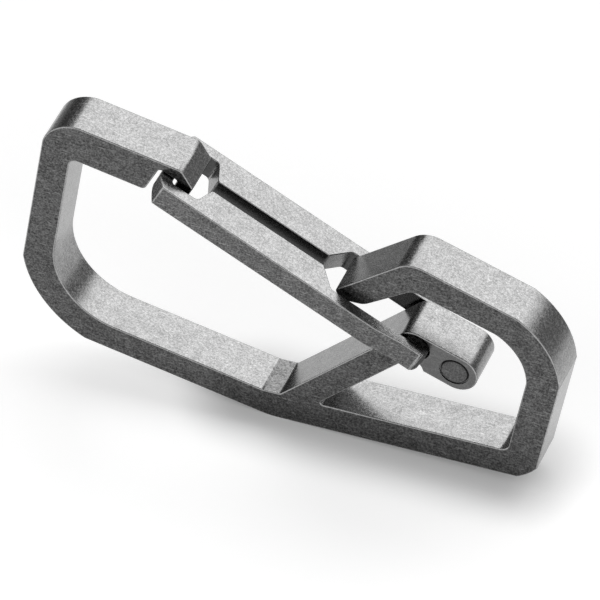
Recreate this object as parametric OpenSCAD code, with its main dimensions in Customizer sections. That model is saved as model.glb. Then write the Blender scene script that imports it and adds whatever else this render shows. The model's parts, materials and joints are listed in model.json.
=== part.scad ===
/*
 Double loop plate carabiner with a forked swing gate.
 The frame is one flat plate that stands in the XZ plane, as deep as plate_t along Y.
 Its outline is a list of straight lines that meet in rounded corners.
 Each line is an angle above +X and a distance from the gate's pivot, and the pivot is where
 the plan is drawn from.
 Lengths along the gate run from the pivot to its nose end, heights are square to the gate.
*/

/* [Frame plate] */
// Thickness of the frame plate
plate_t = 5; // [4.4:0.1:6]
// Lean of the big loop's long bars below level, in degrees
loop_lean = 10; // [8:0.5:12]
// Lean of the far end bar from upright, in degrees
end_lean = 9; // [8:0.5:10]
// Rise of the bottom bar under the small loop, in degrees
foot_rise = 2.5; // [1:0.5:4]
// Fall of the small loop's top bar, in degrees
small_top_fall = 17.5; // [15:0.5:20]
// Radius of the soft heel between the two bottom bars
heel_r = 8; // [5:0.5:12]

/* [Big loop] */
// Height of the pivot above the inside of the big loop's bottom bar
big_floor = 14.52; // [13.5:0.1:16]
// Distance from the top of the gate's nose to the inside of the far end bar
end_past_nose = 9.6; // [8.5:0.1:11]
// Height of the top of the gate's nose above the inside of the top bar
nose_over_roof = 3.31; // [3.1:0.01:3.5]
// Width of the top bar
top_bar_w = 4.48; // [3.8:0.02:5]
// Width of the far end bar and of the big loop's bottom bar
loop_bar_w = 3.2; // [2.6:0.05:3.6]
// Inside radius at the big loop's lower end corner
big_corner_r = 7.8; // [6:0.1:9]
// Outside radius at that corner
big_outer_r = 11.8; // [10:0.1:13]
// Distance by which the outside circle would stand past its two sides
big_outer_crease = 0.43; // [0:0.01:0.6]
// Outside radius at the top end corner
top_corner_r = 4.1; // [3:0.1:5]
// Distance by which that corner's circle would stand past its two sides
top_corner_crease = 0.03; // [0:0.01:0.3]
// Inside radius at the top end corner
top_inner_r = 0.9; // [0.5:0.1:1.5]

/* [Small loop] */
// Depth of the small loop's floor below the pivot
small_floor = 11.22; // [10.5:0.1:12]
// Distance from the pivot to the inside of the right bar
small_reach = 11.75; // [11:0.1:13]
// Height of the small loop's roof above the pivot
small_roof = 7.0; // [6.6:0.1:7.6]
// Width of the small loop's bottom bar
foot_bar_w = 3.3; // [2.7:0.1:3.7]
// Width of the small loop's top and right bars
small_bar_w = 3.42; // [2.8:0.1:3.8]
// Inside radius of the small loop's upper corner
small_corner_r = 6.25; // [5:0.05:7]
// Distance by which that corner's circle would stand past its two sides
small_corner_crease = 0.1; // [0:0.01:0.3]
// Outside radius at that corner
small_outer_r = 9.85; // [8.5:0.05:11]
// Distance by which the outside circle would stand past its two sides
small_outer_crease = 0.3; // [0:0.01:0.5]
// Outside radius at the foot's corner
foot_corner_r = 6; // [4:0.1:7]
// Distance by which that corner's circle would stand past its two sides
foot_corner_crease = 0.57; // [0.2:0.01:0.8]

/* [Small hook] */
// Slope of the hook's outer side, in degrees
hook_slope = 39; // [37:0.5:41]
// Distance of the hook's outer side from the pivot
hook_out = 9.2; // [9:0.05:9.5]
// Slope of the hook's inner side, in degrees
hook_in_slope = 35; // [32:0.5:38]
// Distance of the hook's inner side from the pivot
hook_in = 6.3; // [6.1:0.05:6.5]
// Distance along the gate from the pivot to the hook's tip
hook_tip_s = 9.72; // [9.5:0.02:9.9]
// Depth of the hook's tip below the top of the gate
hook_dip = 1.1; // [0.6:0.1:1.3]
// Fall of the hook's end face, in degrees below level
hook_end_fall = 63.7; // [60:0.1:66]
// Depth below the top of the gate at which the end face is at its stated distance
hook_end_dip = 0.43; // [0.3:0.01:0.5]
// Rise of the flat under the hook's tip, in degrees
hook_tip_rise = 3; // [0:0.5:6]
// Length of that flat back from the end face
hook_tip_flat = 0.8; // [0.5:0.1:1]

/* [Arm and spring block] */
// Slope of the arm between the loops, in degrees
arm_slope = 45; // [43:0.5:47]
// Distance of the arm's upper side from the pivot
arm_up = 1.98; // [1.8:0.02:2.1]
// Width of the arm
arm_w = 2.83; // [2.5:0.05:3.1]
// Fall of the spring block, in degrees
block_fall = 19.5; // [17:0.5:22]
// Distance of the spring post from the pivot, along the block
post_ahead = 4.61; // [4.4:0.05:5.2]
// Distance of the spring post below the pivot, square to the block
post_below = 0.41; // [0.3:0.01:0.5]
// Radius of the block's round end
block_r = 2.17; // [2.05:0.02:2.5]
// Distance of the round end's middle past the spring post
end_ahead = 0.29; // [0.1:0.01:0.4]
// Distance of the block's back wall from the pivot
block_back = 1.27; // [1.25:0.01:1.4]
// Distance of the block's lower back corner from the pivot, along the block
block_toe = 1.84; // [1.7:0.02:2]
// Slope of the short wall over that corner, in degrees
toe_slope = 72; // [65:1:80]
// Rise of the small flat between the arm's foot and the big loop's floor, in degrees
foot_flat_rise = 3; // [1:0.5:4]
// Distance of that flat below the pivot
foot_flat_d = 10.97; // [10.8:0.01:11.1]

/* [Nose] */
// Width of the hooked prong that drops into the gate
prong_w = 1.7; // [1.3:0.1:2]
// Depth of the prong's tip below the top of the gate
prong_dip = 1.8; // [1.2:0.1:2.1]
// Slope of the nose's end face below the gate's line, in degrees
nose_slope = 33.7; // [30:0.5:38]
// Height above the gate's top at which the end face reaches the prong
nose_end_h = 0.37; // [0.25:0.01:0.45]

/* [Small corner radii of the plate] */
// Top of the small hook, outside and inside
hook_top_r = 3; // [2:0.1:4]
hook_inner_r = 1.5; // [1:0.1:2]
// End and tip of the small hook, and the bend under its tip
hook_tip_r = 0.35; // [0.2:0.05:0.4]
hook_bend_r = 2; // [1:0.1:2.5]
// Inside corners at the two ends of the small loop's floor's bar
small_side_r = 1; // [0.5:0.1:1.5]
foot_inner_r = 0.25; // [0.1:0.05:0.5]
// Inside corners at the arm's foot and head, and the corners of the block's back wall
arm_corner_r = 0.4; // [0.2:0.05:0.5]
block_bend_r = 0.8; // [0.5:0.1:1.2]
block_toe_r = 0.15; // [0.1:0.05:0.2]
// Top of the hub over the pivot
hub_r = 1.9; // [1.7:0.05:2]
// Foot flat's end in the big loop
foot_flat_r = 1.5; // [1:0.1:2]
// Corners round the nose, from the roof's end to the prong and the end face
roof_end_r = 0.6; // [0.3:0.05:0.7]
nose_back_r = 0.5; // [0.3:0.05:0.6]
nose_stop_r = 0.3; // [0.2:0.05:0.4]
prong_r = 0.6; // [0.4:0.05:0.7]
nose_low_r = 0.3; // [0.2:0.05:0.4]
nose_top_r = 0.9; // [0.6:0.05:1]

/* [Gate] */
// Fall of the closed gate, in degrees
gate_fall = 26.4; // [25.5:0.1:27.5]
// Length from the pivot to the gate's nose end
gate_reach = 30.7; // [29.5:0.1:32]
// Height of the gate bar
gate_h = 2.82; // [2.4:0.05:3]
// Height of the gate's top above the pivot
gate_top = 0.78; // [0.6:0.02:0.9]
// Width of the gate across both legs
gate_w = 8.34; // [8.1:0.02:9.4]
// Gap between each leg and the frame plate
leg_gap = 0.4; // [0.3:0.05:0.6]
// Width of the cross bar at the nose end
cross_w = 1.4; // [1:0.1:1.8]
// Play between the gate and the frame at the nose
nose_play = 0.4; // [0.3:0.05:0.6]
// Play between the gate's top and the frame's stop
stop_play = 0.17; // [0.1:0.01:0.3]
// Width of the narrow slot down the middle of the web
slot_w = 1.45; // [1:0.05:1.8]
// Length by which the nose window narrows to the slot, along the gate
nose_taper = 0.85; // [0.5:0.05:1.2]
// Distance from the pivot to the slot's hub end
slot_near = 12.1; // [11.6:0.1:13]
// Gap between the prong and the end of the nose window's full width
window_play = 0.95; // [0.7:0.05:1.3]
// Distance from the pivot to the full width of the hub window
window_near = 10.25; // [10.1:0.05:10.8]
// Distance from the pivot to where the legs start to taper
taper_far = 4.5; // [4:0.1:6]
// Distance from the pivot to the flat of the lugs
taper_near = 1.5; // [1.2:0.1:2]
// Depth that each leg tapers in
taper_d = 0.42; // [0.2:0.02:0.6]
// Length of each lug past the pivot
lug_past = 1.35; // [1:0.05:1.5]
// Bevel at the end of each lug
lug_bevel = 0.6; // [0.3:0.05:0.7]
// Length of the bevels at the nose end, along the gate
nose_bevel = 0.9; // [0.6:0.05:1.2]
// Radii of the gate's corners in side view, at the nose's top and foot, and at the lug's
nose_edge_r = 0.15; // [0.1:0.05:0.3]
nose_foot_r = 1.3; // [0.8:0.05:1.5]
lug_edge_r = 0.3; // [0.2:0.05:0.4]
lug_foot_r = 0.5; // [0.3:0.05:0.6]
// Radii of the windows' corners, and of the slot's
window_r = 0.6; // [0.4:0.05:0.7]
window_end_r = 0.4; // [0.3:0.05:0.5]
slot_r = 0.3; // [0.2:0.05:0.35]

/* [Pivot] */
// Diameter of the hidden pivot pin
pivot_d = 1.5; // [1.3:0.05:1.6]
// Running gap round the pivot pin
pivot_gap = 0.04; // [0.02:0.01:0.06]
// Radius of the round recess for each lug
recess_r = 1.62; // [1.5:0.01:1.66]
// Depth of each recess
recess_d = 0.6; // [0.4:0.05:0.9]
// Gap between a lug's boss and its recess, all round and at its floor
boss_gap = 0.15; // [0.1:0.01:0.2]
// Solid skin of the lug over the end of the pivot pin
lug_skin = 0.5; // [0.4:0.05:0.6]
// Depth of the flat on the middle of the pivot pin
flat_d = 0.3; // [0.2:0.02:0.35]

/* [Spring and its post] */
// Diameter of the spring post's head and of its cap
post_d = 2.94; // [2.6:0.02:3]
// Gap round the post's head
post_gap = 0.03; // [0.02:0.01:0.06]
// Width and depth of the groove round the post's head in each face of the plate
groove_w = 0.13; // [0.08:0.01:0.2]
groove_d = 0.2; // [0.1:0.05:0.3]
// Diameter of the post's shank, inside the spring
shank_d = 1.5; // [1.2:0.05:1.6]
// Width of the slot in the block's underside that the spring sits in
spring_slot_w = 2.1; // [2:0.05:2.4]
// Diameter of the spring wire
wire_d = 0.4; // [0.3:0.02:0.42]
// Number of full curls of the spring, apart from its last part curl
curls = 2; // [1:1:2]
// Rise of one curl
curl_pitch = 0.5; // [0.45:0.01:0.52]
// Gap between the spring and its post, and round the spring in its slot
spring_gap = 0.12; // [0.1:0.01:0.15]
// Gap under the pivot pin's flat, which the flat sweeps as the gate opens
flat_sweep = 0.14; // [0.13:0.01:0.2]

/* [Hidden] */
$fn = 48;
metal = [0.42, 0.42, 0.42];
pin_metal = [0.5, 0.5, 0.5];
wire_metal = [0.62, 0.62, 0.6];
// Largest turn, in degrees, and length of one facet along a rounded corner
arc_step = 4;
arc_chord = 1;
// Length by which a cut runs past the solid that it cuts
past = 1;
// Play between the spring's fixed leg and the slot's wall that it bears on
leg_play = 0.06;

// Line across the gate at a distance from the pivot towards the nose
function across_gate(s) = [90 - gate_fall, s];
// Line along the gate at a height over the pivot
function along_gate(h) = [-gate_fall, h];
// Normal of a line at an angle above +X
function normal(angle) = [-sin(angle), cos(angle)];
// Line at an angle through a point
function line_at(angle, p) = [angle, normal(angle) * p];
// Point in the plan from a distance towards the nose and a height over the gate's line
function gate_point(s, h) = -s * [cos(gate_fall), -sin(gate_fall)] + h * [sin(gate_fall), cos(gate_fall)];
// Point where two lines meet
function meet(a, b) =
    let (n = normal(a[0]), m = normal(b[0]), det = n[0] * m[1] - n[1] * m[0])
    [(a[1] * m[1] - b[1] * n[1]) / det, (n[0] * b[1] - m[0] * a[1]) / det];
// Points of a corner v between points p and q, rounded to radius r. The circle stands past both
// sides by the crease, so an arc with a crease breaks from each side at a small angle.
function round_corner(p, v, q, r, crease) =
    let (
        u = (p - v) / norm(p - v),
        w = (q - v) / norm(q - v),
        half = acos(u * w) / 2,
        middle = (u + w) / norm(u + w),
        centre = v + middle * (r - crease) / sin(half),
        turn = 180 - 2 * half - 2 * (r == 0 ? 0 : acos(1 - crease / r)),
        side = u[0] * w[1] - u[1] * w[0] < 0 ? 1 : -1,
        start = atan2(-middle[1], -middle[0]) - side * turn / 2,
        steps = max(1, ceil(turn / arc_step), ceil(turn * r * PI / 180 / arc_chord))
    )
    r == 0 ? [v] : [for (i = [0:steps]) centre + r * [cos(start + side * turn * i / steps),
        sin(start + side * turn * i / steps)]];
// Closed outline from rows of a corner point, its radius and, where it has one, its crease
function rounded(rows) =
    let (n = len(rows))
    [for (i = [0:n - 1])
        let (row = rows[i], crease = len(row) > 2 ? row[2] : 0)
        each round_corner(rows[(i + n - 1) % n][0], row[0], rows[(i + 1) % n][0], row[1], crease)];
// Closed outline from rows of a line, then the radius and crease where it meets the next line
function outline(rows) =
    let (n = len(rows))
    rounded([for (i = [0:n - 1])
        let (row = rows[i])
        concat([meet(row[0], rows[(i + 1) % n][0]), row[1]], len(row) > 2 ? [row[2]] : [])]);

// Places and sizes that follow from the values above
block_way = [cos(block_fall), -sin(block_fall)];
post = post_ahead * block_way - post_below * normal(-block_fall);
post_line = -post_below;
cut_s = gate_reach + nose_play;
prong_far = gate_reach - cross_w - nose_play;
prong_near = prong_far - prong_w;
hook_end = gate_point(hook_tip_s, gate_top - hook_end_dip);
hook_tip = gate_point(hook_tip_s - hook_tip_flat, gate_top - hook_dip);
nose_end = gate_point(prong_near, gate_top + nose_end_h);
side_lean = 90 - loop_lean;
end_line = 90 - end_lean;
nose_point = gate_point(gate_reach, gate_top);
big_reach = normal(end_line) * nose_point + end_past_nose;
big_roof = normal(-loop_lean) * nose_point - nose_over_roof;
block_end = post + (end_ahead + block_r) * block_way;
block_toe_point = block_toe * block_way + (post_line - block_r) * normal(-block_fall);

// Lines of the plate, each with the radius where it meets the next: the big loop's outside and
// foot, the small loop's outside, its hook, its inside, the block and arm, the big loop's inside
// and the nose
frame_lines = [
    [[-loop_lean, big_roof + top_bar_w], top_corner_r, top_corner_crease],
    [[end_line, big_reach + loop_bar_w], big_outer_r, big_outer_crease],
    [[-loop_lean, -big_floor - loop_bar_w], heel_r],
    [[foot_rise, -small_floor - foot_bar_w], foot_corner_r, foot_corner_crease],
    [[side_lean, -small_reach - small_bar_w], small_outer_r, small_outer_crease],
    [[-small_top_fall, small_roof + small_bar_w], hook_top_r],
    [[hook_slope, hook_out], hook_tip_r],
    [line_at(-hook_end_fall, hook_end), hook_tip_r],
    [line_at(hook_tip_rise, hook_tip), hook_bend_r],
    [[hook_in_slope, hook_in], hook_inner_r],
    [[-small_top_fall, small_roof], small_corner_r, small_corner_crease],
    [[side_lean, -small_reach], small_side_r],
    [[foot_rise, -small_floor], foot_inner_r],
    [[arm_slope, arm_up - arm_w], arm_corner_r],
    [[-arm_slope, -block_back], block_bend_r],
    [line_at(-toe_slope, block_toe_point), block_toe_r],
    [[-block_fall, post_line - block_r], block_r],
    [line_at(90 - block_fall, block_end), block_r],
    [[-block_fall, post_line + block_r], hub_r],
    [[arm_slope, arm_up], arm_corner_r],
    [[foot_flat_rise, -foot_flat_d], foot_flat_r],
    [[-loop_lean, -big_floor], big_corner_r],
    [[end_line, big_reach], top_inner_r],
    [[-loop_lean, big_roof], roof_end_r],
    [across_gate(cut_s), nose_back_r],
    [along_gate(gate_top + stop_play), nose_stop_r],
    [across_gate(prong_far), prong_r],
    [along_gate(gate_top - prong_dip), prong_r],
    [across_gate(prong_near), nose_low_r],
    [line_at(-gate_fall - nose_slope, nose_end), nose_top_r]
];
frame_points = outline(frame_lines);
x_low = min([for (p = frame_points) p[0]]);
x_high = max([for (p = frame_points) p[0]]);
z_low = min([for (p = frame_points) p[1]]);
z_high = max([for (p = frame_points) p[1]]);
// Shift from the pivot to the middle of the part's foot
pivot_x = -(x_low + x_high) / 2;
pivot_z = -z_low;

leg_in = plate_t / 2 + leg_gap;
leg_out = gate_w / 2;
lug_out = leg_out - taper_d;
boss_in = plate_t / 2 - recess_d + boss_gap;
pin_end = lug_out - lug_skin;
slot_half = spring_slot_w / 2;
window_far = prong_near - window_play;
slot_far = window_far - nose_taper;
coil_r = shank_d / 2 + spring_gap + wire_d / 2;
coil_space_r = coil_r + wire_d / 2 + spring_gap;
// Height of the pivot pin's flat over the block's line, and the slot's two end walls
flat_z = post_below - pivot_d / 2 + flat_d;
slot_past_pin = 0.3;
slot_wall_x = coil_r - wire_d / 2 - leg_play;

echo(pivot_m = [pivot_x, pivot_z] / 1000, size = [x_high - x_low, gate_w, z_high - z_low]);

// Moves a child drawn at the pivot, with Z up, to its place in the part
module at_pivot() {
    translate([pivot_x, 0, pivot_z]) children();
}

// Turns a child drawn along X, from the hub to the nose at -X, to the closed gate's line
module on_gate_line() {
    at_pivot() rotate([0, gate_fall, 0]) children();
}

// Round bar along Y through a point of the plan
module bar_y(p, r, y0, y1) {
    translate([p[0], y1, p[1]]) rotate([90, 0, 0]) cylinder(h = y1 - y0, r = r);
}

// Flat plate in the XZ plane from an outline, from depth y0 to depth y1
module plate(points, y0, y1) {
    translate([0, y1, 0]) rotate([90, 0, 0]) linear_extrude(height = y1 - y0) polygon(points);
}

module frame() {
    color(metal) at_pivot() difference() {
        plate(frame_points, -plate_t / 2, plate_t / 2);
        bar_y([0, 0], pivot_d / 2 + pivot_gap, -plate_t, plate_t);
        bar_y(post, post_d / 2 + post_gap, -plate_t, plate_t);
        for (side = [0, 1]) {
            mirror([0, side, 0]) {
                bar_y([0, 0], recess_r, -plate_t, -plate_t / 2 + recess_d);
                bar_y(post, post_d / 2 + groove_w, -plate_t, -plate_t / 2 + groove_d);
            }
        }
        spring_room();
    }
}

// Moves a child drawn at the spring post, with X along the block, to its place over the pivot
module on_block_line() {
    translate([post[0], 0, post[1]]) rotate([0, block_fall, 0]) children();
}

// Round room for the coil, and a slot from it to the pivot pin, cut from the block's underside
module spring_room() {
    on_block_line() {
        bar_y([0, 0], coil_space_r, -slot_half, slot_half);
        translate([-post_ahead - slot_past_pin, -slot_half, -block_r - past])
            cube([post_ahead + slot_past_pin - slot_wall_x, spring_slot_w, block_r + past + flat_z]);
    }
}

// Side view of the gate: a bar with a rounded lower nose corner and eased hub corners
gate_side = rounded([
    [[-gate_reach, gate_top], nose_edge_r],
    [[-gate_reach, gate_top - gate_h], nose_foot_r],
    [[lug_past, gate_top - gate_h], lug_foot_r],
    [[lug_past, gate_top], lug_edge_r]
]);

// Plan of the gate, seen from above: bevelled nose end, and legs that taper to the lugs
nose_bevel_s = gate_reach - nose_bevel;
gate_plan = [
    [-gate_reach, leg_in],
    [-nose_bevel_s, leg_out],
    [-taper_far, leg_out],
    [-taper_near, lug_out],
    [lug_past - lug_bevel, lug_out],
    [lug_past, lug_out - lug_bevel],
    [lug_past, -lug_out + lug_bevel],
    [lug_past - lug_bevel, -lug_out],
    [-taper_near, -lug_out],
    [-taper_far, -leg_out],
    [-nose_bevel_s, -leg_out],
    [-gate_reach, -leg_in]
];

// One opening of the gate: nose window, narrow slot and hub window in one
gate_opening = rounded([
    [[-gate_reach + cross_w, leg_in], window_end_r],
    [[-window_far, leg_in], window_r],
    [[-slot_far, slot_w / 2], slot_r],
    [[-slot_near, slot_w / 2], slot_r],
    [[-window_near, leg_in], window_r],
    [[lug_past + past, leg_in], 0],
    [[lug_past + past, -leg_in], 0],
    [[-window_near, -leg_in], window_r],
    [[-slot_near, -slot_w / 2], slot_r],
    [[-slot_far, -slot_w / 2], slot_r],
    [[-window_far, -leg_in], window_r],
    [[-gate_reach + cross_w, -leg_in], window_end_r]
]);

module gate() {
    color(metal) on_gate_line() difference() {
        union() {
            difference() {
                intersection() {
                    translate([0, 0, gate_top - gate_h]) linear_extrude(height = gate_h)
                        polygon(gate_plan);
                    plate(gate_side, -leg_out, leg_out);
                }
                translate([0, 0, gate_top - gate_h - past])
                    linear_extrude(height = gate_h + 2 * past) polygon(gate_opening);
            }
            for (side = [0, 1]) {
                mirror([0, side, 0]) lug_boss();
            }
        }
        bar_y([0, 0], pivot_d / 2, -pin_end, pin_end);
    }
}

// Round boss on the inside of one lug, under the gate's top, that turns in the frame's recess
module lug_boss() {
    intersection() {
        bar_y([0, 0], recess_r - boss_gap, boss_in, lug_out - lug_skin / 2);
        plate(gate_side, 0, leg_out);
    }
}

module pivot_pin() {
    color(pin_metal) on_gate_line() difference() {
        bar_y([0, 0], pivot_d / 2, -pin_end, pin_end);
        rotate([0, block_fall - gate_fall, 0])
            translate([-pivot_d, -slot_half, -pivot_d])
            cube([2 * pivot_d, spring_slot_w, pivot_d / 2 + flat_d]);
    }
}

module spring_post() {
    color(pin_metal) at_pivot() {
        bar_y(post, post_d / 2, -plate_t / 2, -slot_half);
        bar_y(post, shank_d / 2, -slot_half, plate_t / 2);
    }
}

module post_cap() {
    color(pin_metal) at_pivot() difference() {
        bar_y(post, post_d / 2, slot_half, plate_t / 2);
        bar_y(post, shank_d / 2, 0, plate_t);
    }
}

// Route of the spring's wire about its post: up the fixed leg, round the curls, and along the
// free leg to its end under the pivot pin's flat
curl_rings = 8;
leg_end = [-post_ahead, flat_z - flat_sweep - wire_d / 2];
leave_turn = 360 * curls + 180 - (atan2(leg_end[1], leg_end[0]) + acos(coil_r / norm(leg_end)));
coil_rings = round(leave_turn * curl_rings / 360);
coil_rise = curl_pitch * leave_turn / 360;
wire_route = concat(
    [[-coil_r, -coil_rise / 2, wire_d / 2 - block_r]],
    [for (i = [0:coil_rings])
        let (t = 180 - leave_turn * i / coil_rings)
        [coil_r * cos(t), coil_rise * (i / coil_rings - 0.5), coil_r * sin(t)]],
    [[leg_end[0], coil_rise / 2, leg_end[1]]]
);

module gate_spring() {
    color(wire_metal) at_pivot() on_block_line() tube(wire_route, wire_d / 2);
}

// Unbroken tube of six sides along a route
module tube(route, r) {
    sides = 6;
    n = len(route);
    function along(i) =
        let (d = route[min(i + 1, n - 1)] - route[max(i - 1, 0)])
        d / norm(d);
    function square_to(d) =
        let (c = cross(d, [0, 1, 0]))
        c / norm(c);
    rings = [for (i = [0:n - 1])
        let (d = along(i), a = square_to(d), b = cross(d, a))
        for (k = [0:sides - 1])
            route[i] + r * (a * cos(360 * k / sides) + b * sin(360 * k / sides))];
    walls = [for (i = [0:n - 2], k = [0:sides - 1])
        let (p = i * sides + k, q = i * sides + (k + 1) % sides)
        each [[p, q, p + sides], [q, q + sides, p + sides]]];
    caps = [for (k = [1:sides - 2])
        each [[0, k + 1, k], [(n - 1) * sides, (n - 1) * sides + k, (n - 1) * sides + k + 1]]];
    polyhedron(points = rings, faces = concat(walls, caps));
}

frame();
gate();
pivot_pin();
spring_post();
post_cap();
gate_spring();
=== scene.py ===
"""Studio view of a double loop plate carabiner in tumbled grey titanium.

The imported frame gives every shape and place. This script wears the sharp rims
round and adds procedural metal, a pale floor, soft light and the camera. All
lengths are in metres, with the part standing on its heel at Z = 0.
"""

import json
import math

import bmesh
import bpy
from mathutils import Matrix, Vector
from mathutils.kdtree import KDTree

MM = 0.001
# Points closer than this count as one
JOIN = 0.001 * MM

# Camera: direction from the part in degrees, and the picture's middle seen from the hinge
AZIMUTH = 21.94
ELEVATION = 43.34
DISTANCE = 0.6789
FROM_HINGE = Vector((-12.3546 * MM, -2.5 * MM, 2.1257 * MM))
SENSOR = 36.0
LENS = 407.7

# Width of the worn edge along the rims of each piece
EDGE = {
    "frame": 0.13 * MM,
    "gate": 0.12 * MM,
    "spring_post": 0.12 * MM,
    "post_cap": 0.12 * MM,
}
# Rims above SHARP are worn, and a short one below SQUARE is a facet of a curved crease
SHARP = math.radians(32)
SQUARE = math.radians(80)
FACET = 0.3 * MM
# A rim shorter than this that ends at a curved crease stays sharp too
STUB = 0.07 * MM
# Long bends above this angle are real creases, and the fine facets of the arcs stay below it
CREASE = math.radians(8.75)
LONG_BEND = 1.5 * MM
# Radius round the hinge inside which rims stay sharp
HUB = 1.66 * MM
# Radius round the post that holds its bore's rim, and the most of the width it is worn by
BORE = 1.7 * MM
BORE_WEAR = 0.08
# Search for the next rim: spacing of points along rims, farthest look in widths, and its steps
SPACING = 0.04 * MM
LOOK = 4
STEPS = 16
# A rim within this share of the look's reach is near, and leaves this much of the reach free
NEAR = 0.7
FREE = 1.6
# Share of the free room that a worn edge takes
FILL = 0.4
# Faces that lean less than this against each other are joined
FLAT = math.radians(0.4)
WORN_SEGMENTS = 2
SHADING_WEIGHT = 80

# Noise cells per metre in the metal: fine grain, finest grain, soft clouds and short marks
FINE_CELLS = 4300
FINEST_CELLS = 9000
CLOUD_CELLS = 900
MARK_CELLS = 8600
# Noise range and contrast range of the three layers of grain
FINE_CONTRAST = (0.36, 0.72, -0.55, 1.5)
FINEST_CONTRAST = (0.36, 0.72, -0.4, 1.1)
CLOUD_CONTRAST = (0.3, 0.7, -0.35, 0.35)
# Directions of the short marks that tumbling leaves, and how much each is drawn out
MARKS = (
    ((10, 35, 5), 0.07),
    ((-25, 80, 40), 0.09),
    ((30, 125, -30), 0.07),
    ((-10, 160, 75), 0.09),
)
# A surface goes from wall to face as the Y part of its normal goes through this range
FACE_TURN = (0.75, 0.97)
# A smooth spot and the sunk faces fade out up to this many times their reach
SPOT_FADE = 1.06
SUNK_FADE = 1.02
BUMP_STRENGTH = 0.3
BUMP_DEPTH = 0.012 * MM

# The small flat at the arm's foot: its reach along X, the height it stays below and the least
# Z part of its normal
STEP_X = (-2.92 * MM, -1.0 * MM)
STEP_TOP = 3.6 * MM
STEP_UP = 0.98

# The floor reaches this far to each side
FLOOR_HALF = 3.0

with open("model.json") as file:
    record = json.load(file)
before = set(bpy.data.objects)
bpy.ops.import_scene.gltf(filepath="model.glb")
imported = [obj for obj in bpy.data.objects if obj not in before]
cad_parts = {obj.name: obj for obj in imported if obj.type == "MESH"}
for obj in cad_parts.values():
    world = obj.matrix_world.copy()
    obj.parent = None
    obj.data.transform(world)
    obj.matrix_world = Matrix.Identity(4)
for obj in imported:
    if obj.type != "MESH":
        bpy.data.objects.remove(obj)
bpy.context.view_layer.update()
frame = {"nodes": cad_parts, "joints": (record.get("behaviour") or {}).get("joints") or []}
pivot = Vector(frame["joints"][0]["pos_m"])
post = sum((Vector(c) for c in frame["nodes"]["spring_post"].bound_box), Vector()) / 8
post.y = 0
look_at = pivot + FROM_HINGE


def new_material(name):
    """Empty node material with a Principled shader: (material, tree, shader)."""
    mat = bpy.data.materials.new(name)
    mat.use_nodes = True
    tree = mat.node_tree
    tree.nodes.clear()
    out = tree.nodes.new("ShaderNodeOutputMaterial")
    shader = tree.nodes.new("ShaderNodeBsdfPrincipled")
    tree.links.new(shader.outputs["BSDF"], out.inputs["Surface"])
    return mat, tree, shader


def math_node(tree, operation, a, b=None):
    """Math node of two values, each a number or a socket."""
    node = tree.nodes.new("ShaderNodeMath")
    node.operation = operation
    for socket, value in zip(node.inputs, (a, b)):
        if value is None:
            continue
        if isinstance(value, (int, float)):
            socket.default_value = value
        else:
            tree.links.new(value, socket)
    return node.outputs[0]


def ramp(tree, value, low, high, out_low=0.0, out_high=1.0):
    """Smooth step of a value from one range to another."""
    node = tree.nodes.new("ShaderNodeMapRange")
    node.interpolation_type = "SMOOTHSTEP"
    node.inputs["From Min"].default_value = low
    node.inputs["From Max"].default_value = high
    node.inputs["To Min"].default_value = out_low
    node.inputs["To Max"].default_value = out_high
    tree.links.new(value, node.inputs["Value"])
    return node.outputs["Result"]


def noise(tree, coords, scale, detail, rough, distort=0.0):
    """Noise with a cell count per metre."""
    node = tree.nodes.new("ShaderNodeTexNoise")
    node.inputs["Scale"].default_value = scale
    node.inputs["Detail"].default_value = detail
    node.inputs["Roughness"].default_value = rough
    node.inputs["Distortion"].default_value = distort
    tree.links.new(coords, node.inputs["Vector"])
    return node.outputs["Fac"]


def turned(tree, coords, angles, stretch):
    """Coordinates turned by three angles in degrees, then scaled on each axis."""
    node = tree.nodes.new("ShaderNodeMapping")
    node.vector_type = "POINT"
    node.inputs["Rotation"].default_value = [math.radians(a) for a in angles]
    node.inputs["Scale"].default_value = stretch
    tree.links.new(coords, node.inputs["Vector"])
    return node.outputs["Vector"]


def parts_of(tree, vector):
    """X, Y and Z of a vector as sockets."""
    node = tree.nodes.new("ShaderNodeSeparateXYZ")
    tree.links.new(vector, node.inputs[0])
    return node.outputs


def distance(tree, vector, point):
    """Distance of a vector from a point, which is given as numbers or as a socket."""
    node = tree.nodes.new("ShaderNodeVectorMath")
    node.operation = "DISTANCE"
    tree.links.new(vector, node.inputs[0])
    if isinstance(point, bpy.types.NodeSocket):
        tree.links.new(point, node.inputs[1])
    else:
        node.inputs[1].default_value = point
    return node.outputs["Value"]


def as_grey(tree, value):
    """Grey colour of a value."""
    node = tree.nodes.new("ShaderNodeCombineColor")
    for channel in ("Red", "Green", "Blue"):
        tree.links.new(value, node.inputs[channel])
    return node.outputs["Color"]


def short_marks(tree, coords):
    """Short marks in several directions: 1 on a mark and 0 beside it."""
    streaks = None
    for angles, stretch in MARKS:
        drawn = turned(tree, coords, angles, (stretch, 1, 1))
        line = ramp(tree, noise(tree, drawn, MARK_CELLS, 0.0, 0.4, 0.3), 0.73, 0.82)
        streaks = line if streaks is None else math_node(tree, "MAXIMUM", streaks, line)
    return streaks


def round_place(tree, coords, middle, radius):
    """Mask that is 1 within a radius of an axis along Y."""
    flat = tree.nodes.new("ShaderNodeVectorMath")
    flat.operation = "MULTIPLY"
    flat.inputs[1].default_value = (1, 0, 1)
    tree.links.new(coords, flat.inputs[0])
    away = distance(tree, flat.outputs["Vector"], middle)
    return ramp(tree, away, radius, radius * SPOT_FADE, 1, 0)


def near_mid_plane(tree, coords, depth):
    """Mask that is 1 up to a distance from the plate's mid plane."""
    off = math_node(tree, "ABSOLUTE", parts_of(tree, coords)["Y"])
    return ramp(tree, off, depth, depth * SUNK_FADE, 1, 0)


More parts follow.
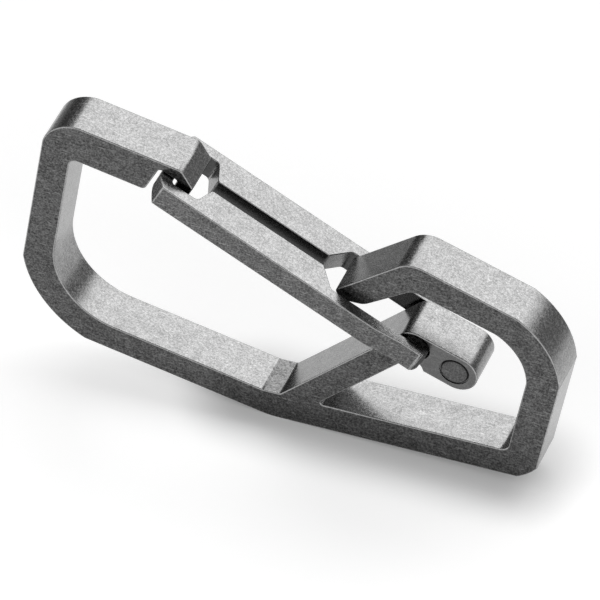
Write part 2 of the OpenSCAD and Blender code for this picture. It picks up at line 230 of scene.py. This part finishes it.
def tumbled_metal(name, face, wall, speckle, marks, roughness, spot=None, sunk_shade_and_grain=None):
    """Tumbled grey metal. The plate faces get a darker grey than the cut walls, which is
    painted shade.

    face and wall are the grey of surfaces that look along Y and across it. speckle and marks
    hold the same two for the contrast of the grain and of the short marks. spot is a smooth
    round place on the faces: its middle, its radius, its tone against the rest and the grain
    left. The recess argument says the same of faces in recesses: how far from the mid plane
    they end, their tone and the grain left. Their darker tone there is painted shade, and
    their weaker grain is the real finish.
    """
    mat, tree, shader = new_material(name)
    coords = tree.nodes.new("ShaderNodeTexCoord").outputs["Object"]
    fine = noise(tree, coords, FINE_CELLS, 2.0, 0.6)
    finest = noise(tree, coords, FINEST_CELLS, 1.0, 0.5)
    cloud = noise(tree, coords, CLOUD_CELLS, 3.0, 0.6)
    streaks = short_marks(tree, coords)
    normal = tree.nodes.new("ShaderNodeNewGeometry").outputs["Normal"]
    along_y = math_node(tree, "ABSOLUTE", parts_of(tree, normal)["Y"])
    facing = ramp(tree, along_y, *FACE_TURN)

    def by_side(on_face, on_wall):
        """Value that goes from its wall number to its face number."""
        rise = math_node(tree, "MULTIPLY", facing, on_face - on_wall)
        return math_node(tree, "ADD", rise, on_wall)

    grains = ramp(tree, fine, *FINE_CONTRAST)
    grains = math_node(tree, "ADD", grains, ramp(tree, finest, *FINEST_CONTRAST))
    grains = math_node(tree, "ADD", grains, ramp(tree, cloud, *CLOUD_CONTRAST))
    grains = math_node(tree, "MULTIPLY", grains, by_side(*speckle))
    lift = math_node(tree, "MULTIPLY", streaks, by_side(*marks))
    value = math_node(tree, "ADD", grains, lift)
    # Painted shade: surfaces that look along Y get the darker face grey
    tone = by_side(face, wall)
    places = []
    if spot:
        middle, radius, gain, left = spot
        places.append((round_place(tree, coords, middle, radius), gain, left))
    if sunk_shade_and_grain:
        depth, gain, left = sunk_shade_and_grain
        places.append((near_mid_plane(tree, coords, depth), gain, left))
    # The spot's tone is the smoother finish round the post; the darker tone of faces in
    # recesses is painted shade
    for mask, gain, left in places:
        share = math_node(tree, "MULTIPLY", facing, mask)
        value = math_node(tree, "MULTIPLY", value, ramp(tree, share, 0, 1, 1, left))
        tone = math_node(tree, "MULTIPLY", tone, ramp(tree, share, 0, 1, 1, gain))
    value = math_node(tree, "MULTIPLY", math_node(tree, "ADD", value, 1.0), tone)
    tree.links.new(as_grey(tree, value), shader.inputs["Base Color"])

    shine = ramp(tree, fine, 0.3, 0.7, roughness - 0.05, roughness + 0.06)
    tree.links.new(shine, shader.inputs["Roughness"])
    bump = tree.nodes.new("ShaderNodeBump")
    bump.inputs["Strength"].default_value = BUMP_STRENGTH
    bump.inputs["Distance"].default_value = BUMP_DEPTH
    height = math_node(tree, "ADD", fine, math_node(tree, "MULTIPLY", streaks, 0.6))
    tree.links.new(height, bump.inputs["Height"])
    tree.links.new(bump.outputs["Normal"], shader.inputs["Normal"])
    shader.inputs["Metallic"].default_value = 1.0
    return mat


def place_key(a, b):
    """Name of an edge by the places of its two ends, to a thousandth of a millimetre."""
    return frozenset(tuple(round(c * 1e6) for c in point) for point in (a, b))


def within(point, middle, radius):
    """Whether a point lies within a radius of an axis along Y."""
    return math.hypot(point.x - middle.x, point.z - middle.z) < radius


def worn_rims(bm):
    """Sharp rims of a mesh that are worn round.

    The short facets of a curved crease stay sharp, and so do a stub that ends at one and the
    thin lips round the hinge.
    """
    sharp = [e for e in bm.edges if len(e.link_faces) == 2 and e.calc_face_angle(0) > SHARP]
    creases = {e for e in sharp if e.calc_face_angle(0) < SQUARE and e.calc_length() < FACET}
    ends = {v for e in creases for v in e.verts}
    rims = []
    for edge in sharp:
        stub = edge.calc_length() < STUB and any(v in ends for v in edge.verts)
        hub = all(within(v.co, pivot, HUB) for v in edge.verts)
        if edge not in creases and not stub and not hub:
            rims.append(edge)
    return rims


def points_along(rims):
    """Search tree of points spread along the rims."""
    points = []
    for edge in rims:
        a, b = (v.co for v in edge.verts)
        steps = max(1, int((b - a).length / SPACING))
        points += [a.lerp(b, (i + 0.5) / steps) for i in range(steps)]
    near = KDTree(len(points))
    for i, point in enumerate(points):
        near.insert(point, i)
    near.balance()
    return near


def room_beside(edge, near, farthest):
    """Room on the two faces beside a rim before another rim comes near."""
    a, b = (v.co for v in edge.verts)
    along = (b - a).normalized()
    room = farthest
    for face in edge.link_faces:
        inward = face.normal.cross(along)
        if inward.dot(face.calc_center_median() - a) < 0:
            inward = -inward
        for i in range(1, STEPS + 1):
            reach = room * i / STEPS
            start = (a + b) / 2 + inward * reach
            if near.find(start)[2] < NEAR * reach:
                room = min(room, FREE * reach)
                break
    return room


def is_bend(edge):
    """Whether two faces meet in a rim or in a long crease."""
    angle = edge.calc_face_angle(0) if len(edge.link_faces) == 2 else 0
    return angle > SHARP or (angle > CREASE and edge.calc_length() > LONG_BEND)


def rim_widths(node, width):
    """Worn rims of a CAD node by place, each with its share of the width, and all its bends.

    A rim's share is what its surroundings allow. The rim of the post's bore is hardly worn.
    """
    bm = bmesh.new()
    bm.from_mesh(frame["nodes"][node].data)
    bmesh.ops.remove_doubles(bm, verts=bm.verts, dist=JOIN)
    rims = worn_rims(bm)
    near = points_along(rims)
    widths = {}
    for edge in rims:
        bore = node == "frame" and all(within(v.co, post, BORE) for v in edge.verts)
        share = FILL * room_beside(edge, near, LOOK * width) / width
        widths[place_key(*(v.co for v in edge.verts))] = min(BORE_WEAR if bore else 1.0, share)
    bends = {place_key(*(v.co for v in edge.verts)) for edge in bm.edges if is_bend(edge)}
    bm.free()
    return widths, bends


def worn_edges(node, width):
    """Join the triangles of a CAD node into flat faces and round its sharp rims."""
    piece = frame["nodes"][node]
    mesh = piece.data
    widths, bends = rim_widths(node, width)
    weight = mesh.attributes.new("bevel_weight_edge", "FLOAT", "EDGE")
    for edge in mesh.edges:
        key = place_key(*(mesh.vertices[i].co for i in edge.vertices))
        weight.data[edge.index].value = widths.get(key, 0.0)
        edge.use_edge_sharp = key in bends and key not in widths
    join = piece.modifiers.new("joined_points", "WELD")
    join.merge_threshold = JOIN
    merge = piece.modifiers.new("flat_faces", "DECIMATE")
    merge.decimate_type = "DISSOLVE"
    merge.angle_limit = FLAT
    bevel = piece.modifiers.new("worn_edge", "BEVEL")
    bevel.width = width
    bevel.segments = WORN_SEGMENTS
    bevel.limit_method = "WEIGHT"
    bevel.use_clamp_overlap = False
    bevel.material = 1
    bevel.harden_normals = False
    for polygon in mesh.polygons:
        polygon.use_smooth = True
    keep = piece.modifiers.new("flat_shading", "WEIGHTED_NORMAL")
    keep.keep_sharp = True
    keep.weight = SHADING_WEIGHT


# Painted shade: where a face grey is below its wall grey, the darker plate faces are painted
plate_metal = tumbled_metal(
    "plate_metal",
    face=0.078,
    wall=0.25,
    speckle=(0.5, 0.27),
    marks=(1.2, 0.4),
    roughness=0.25,
    spot=(post, 5.4 * MM, 1.75, 0.2),
    # Painted shade: faces in recesses get 0.7 of the grey
    sunk_shade_and_grain=(2.4 * MM, 0.7, 0.25),
)
gate_metal = tumbled_metal(
    "gate_metal",
    face=0.105,
    wall=0.25,
    speckle=(0.46, 0.27),
    marks=(1.2, 0.4),
    roughness=0.25,
    # Painted shade: faces in recesses get 0.6 of the grey
    sunk_shade_and_grain=(3.5 * MM, 0.6, 0.25),
)
pin_metal = tumbled_metal(
    "pin_metal", face=0.092, wall=0.25, speckle=(0.3, 0.12), marks=(0.5, 0.0), roughness=0.3
)
# Painted highlight: the worn rims get a bright grey for light lines along the edges
edge_highlight_metal = tumbled_metal(
    "edge_highlight_metal", face=0.3, wall=0.36, speckle=(0.15, 0.15), marks=(0.0, 0.0), roughness=0.25
)
# Painted shade: the small flat at the arm's foot gets a darker wall grey
step_shade_metal = tumbled_metal(
    "step_shade_metal", face=0.078, wall=0.135, speckle=(0.5, 0.4), marks=(1.2, 0.4), roughness=0.25
)
# Painted shadow: near black rims round the post and its cap stand in for the dark gap there
ring_shadow_metal = tumbled_metal(
    "ring_shadow_metal", face=0.02, wall=0.02, speckle=(0.1, 0.1), marks=(0.0, 0.0), roughness=0.4
)
wire_metal = tumbled_metal(
    "wire_metal", face=0.5, wall=0.5, speckle=(0.05, 0.05), marks=(0.0, 0.0), roughness=0.25
)

FINISH = {
    "frame": plate_metal,
    "gate": gate_metal,
    "pivot_pin": pin_metal,
    "spring_post": pin_metal,
    "post_cap": pin_metal,
    "gate_spring": wire_metal,
}
for node, mat in FINISH.items():
    mesh = frame["nodes"][node].data
    mesh.materials.clear()
    mesh.materials.append(mat)
# The worn rims get a brighter grey, a painted highlight, and the rims round the post and its
# cap a near black one, a painted shadow in the rings
for node, width in EDGE.items():
    rim = ring_shadow_metal if node in ("spring_post", "post_cap") else edge_highlight_metal
    frame["nodes"][node].data.materials.append(rim)
    worn_edges(node, width)

# The small flat at the arm's foot gets a darker wall grey than the loop's floor, which is
# painted shade
plate = frame["nodes"]["frame"].data
plate.materials.append(step_shade_metal)
shaded_step_slot = len(plate.materials) - 1
for polygon in plate.polygons:
    inside = polygon.center.z < STEP_TOP and STEP_X[0] < polygon.center.x < STEP_X[1]
    if inside and polygon.normal.z > STEP_UP:
        polygon.material_index = shaded_step_slot


def add_floor(tone, glow, centre, reach, foot):
    """Wide pale floor that glows white round the part, with a painted shadow along the foot
    where the glow is low.

    tone holds the grey near the part and the grey far behind it, and reach says where the one
    goes over into the other, from the centre; the darker grey far behind is painted shade.
    glow holds the glow by the part's foot, in front of it and behind it, and none is left far
    behind;
    the low glow by the foot paints a darker band there, and the stronger glow in front paints
    light over the lamp's shadow. The foot is a line along X from foot[0] to foot[1], and the
    glow grows to full between foot[2] and foot[3] away from it.
    """
    near_tone, far_tone = tone
    foot_glow, front_glow, back_glow = glow
    foot_start, foot_end, glow_start, glow_full = foot
    mesh = bpy.data.meshes.new("floor")
    signs = ((-1, -1), (1, -1), (1, 1), (-1, 1))
    corners = [(x * FLOOR_HALF, y * FLOOR_HALF, 0) for x, y in signs]
    mesh.from_pydata(corners, [], [(0, 1, 2, 3)])
    floor = bpy.data.objects.new("floor", mesh)
    bpy.context.scene.collection.objects.link(floor)
    mat = bpy.data.materials.new("pale_floor")
    mat.use_nodes = True
    tree = mat.node_tree
    tree.nodes.clear()
    out = tree.nodes.new("ShaderNodeOutputMaterial")
    coords = tree.nodes.new("ShaderNodeTexCoord").outputs["Object"]
    place = parts_of(tree, coords)

    # Painted shade: the floor's grey darkens far behind the part
    beyond = ramp(tree, distance(tree, coords, centre), *reach)
    beyond = math_node(tree, "MULTIPLY", beyond, ramp(tree, place["Y"], -50 * MM, -20 * MM))
    diffuse = tree.nodes.new("ShaderNodeBsdfDiffuse")
    grey = as_grey(tree, ramp(tree, beyond, 0, 1, near_tone, far_tone))
    tree.links.new(grey, diffuse.inputs["Color"])

    # Painted shadow: the glow is low along the foot and rises away from it, and more glow in
    # front paints light over the lamp's shadow
    nearest = math_node(tree, "MAXIMUM", place["X"], foot_start)
    nearest = math_node(tree, "MINIMUM", nearest, foot_end)
    line = tree.nodes.new("ShaderNodeCombineXYZ")
    tree.links.new(nearest, line.inputs["X"])
    gap = distance(tree, coords, line.outputs[0])
    rise = ramp(tree, place["Y"], -12 * MM, 20 * MM, front_glow, back_glow)
    rise = math_node(tree, "SUBTRACT", rise, foot_glow)
    rise = math_node(tree, "MULTIPLY", rise, ramp(tree, gap, glow_start, glow_full))
    shine = math_node(tree, "ADD", rise, foot_glow)
    shine = math_node(tree, "MULTIPLY", shine, ramp(tree, beyond, 0, 1, 1, 0))
    path = tree.nodes.new("ShaderNodeLightPath")
    seen = path.outputs["Is Camera Ray"]
    for ray in ("Is Glossy Ray", "Is Transmission Ray"):
        seen = math_node(tree, "MAXIMUM", seen, path.outputs[ray])
    white = tree.nodes.new("ShaderNodeEmission")
    tree.links.new(math_node(tree, "MULTIPLY", shine, seen), white.inputs["Strength"])
    both = tree.nodes.new("ShaderNodeAddShader")
    tree.links.new(diffuse.outputs[0], both.inputs[0])
    tree.links.new(white.outputs[0], both.inputs[1])
    tree.links.new(both.outputs[0], out.inputs["Surface"])
    mesh.materials.append(mat)


def add_world(horizon, dome, zenith, front, flag):
    """Studio dome: brightest from 30 to 53 degrees up, softer overhead and dim low down.

    Only the front is bright low down, where a white card would stand, and a dark flag stands
    to the left behind the part. The ranges are parts of the direction of view, so Z is 0.5 at
    30 degrees up.
    """
    world = bpy.data.worlds.new("studio")
    bpy.context.scene.world = world
    world.use_nodes = True
    tree = world.node_tree
    tree.nodes.clear()
    out = tree.nodes.new("ShaderNodeOutputWorld")
    back = tree.nodes.new("ShaderNodeBackground")
    toward = parts_of(tree, tree.nodes.new("ShaderNodeTexCoord").outputs["Generated"])
    rise = ramp(tree, toward["Z"], 0.12, 0.5, horizon, dome)
    left = ramp(tree, toward["X"], -0.5, -0.38, 1.0, 0.0)
    left = math_node(tree, "MULTIPLY", left, ramp(tree, toward["Y"], 0.1, 0.4))
    left = math_node(tree, "MULTIPLY", left, ramp(tree, toward["Z"], 0.75, 0.6))
    rise = math_node(tree, "MULTIPLY", rise, ramp(tree, left, 0, 1, 1, flag))
    fall = ramp(tree, toward["Z"], 0.8, 0.95, 1.0, zenith)
    card = ramp(tree, toward["Y"], -0.4, -0.1, front, 0.0)
    card = math_node(tree, "MULTIPLY", card, ramp(tree, toward["Z"], 0.35, 0.6, 1.0, 0.0))
    glow = math_node(tree, "MAXIMUM", math_node(tree, "MULTIPLY", rise, fall), card)
    tree.links.new(glow, back.inputs["Strength"])
    tree.links.new(back.outputs[0], out.inputs["Surface"])


def add_area(name, place, width, height, power):
    """Soft lamp that faces the part."""
    lamp = bpy.data.lights.new(name, "AREA")
    lamp.shape = "RECTANGLE"
    lamp.size = width
    lamp.size_y = height
    lamp.energy = power
    obj = bpy.data.objects.new(name, lamp)
    bpy.context.scene.collection.objects.link(obj)
    obj.location = place
    aim = look_at - obj.location
    obj.rotation_euler = aim.to_track_quat("-Z", "Y").to_euler()


def add_camera():
    """Camera at the photograph's angle."""
    data = bpy.data.cameras.new("camera")
    data.sensor_width = SENSOR
    data.lens = LENS
    data.clip_start = 0.01
    data.clip_end = 10
    obj = bpy.data.objects.new("camera", data)
    bpy.context.scene.collection.objects.link(obj)
    a, e = math.radians(AZIMUTH), math.radians(ELEVATION)
    back = Vector((math.sin(a) * math.cos(e), -math.cos(a) * math.cos(e), math.sin(e)))
    obj.location = look_at + back * DISTANCE
    obj.rotation_euler = (-back).to_track_quat("-Z", "Y").to_euler()
    bpy.context.scene.camera = obj


add_floor(
    tone=(0.8, 0.34),
    glow=(0.1, 0.5, 0.37),
    centre=(-6 * MM, 16 * MM, 0),
    reach=(62 * MM, 105 * MM),
    foot=(-4 * MM, 24 * MM, 2 * MM, 10 * MM),
)
add_world(horizon=0.3, dome=0.75, zenith=0.35, front=1.2, flag=0.25)
add_area("key", place=Vector((0.08, 0.52, 0.54)), width=1.1, height=0.6, power=3.4)
add_camera()
bpy.context.scene.view_settings.view_transform = "Standard"
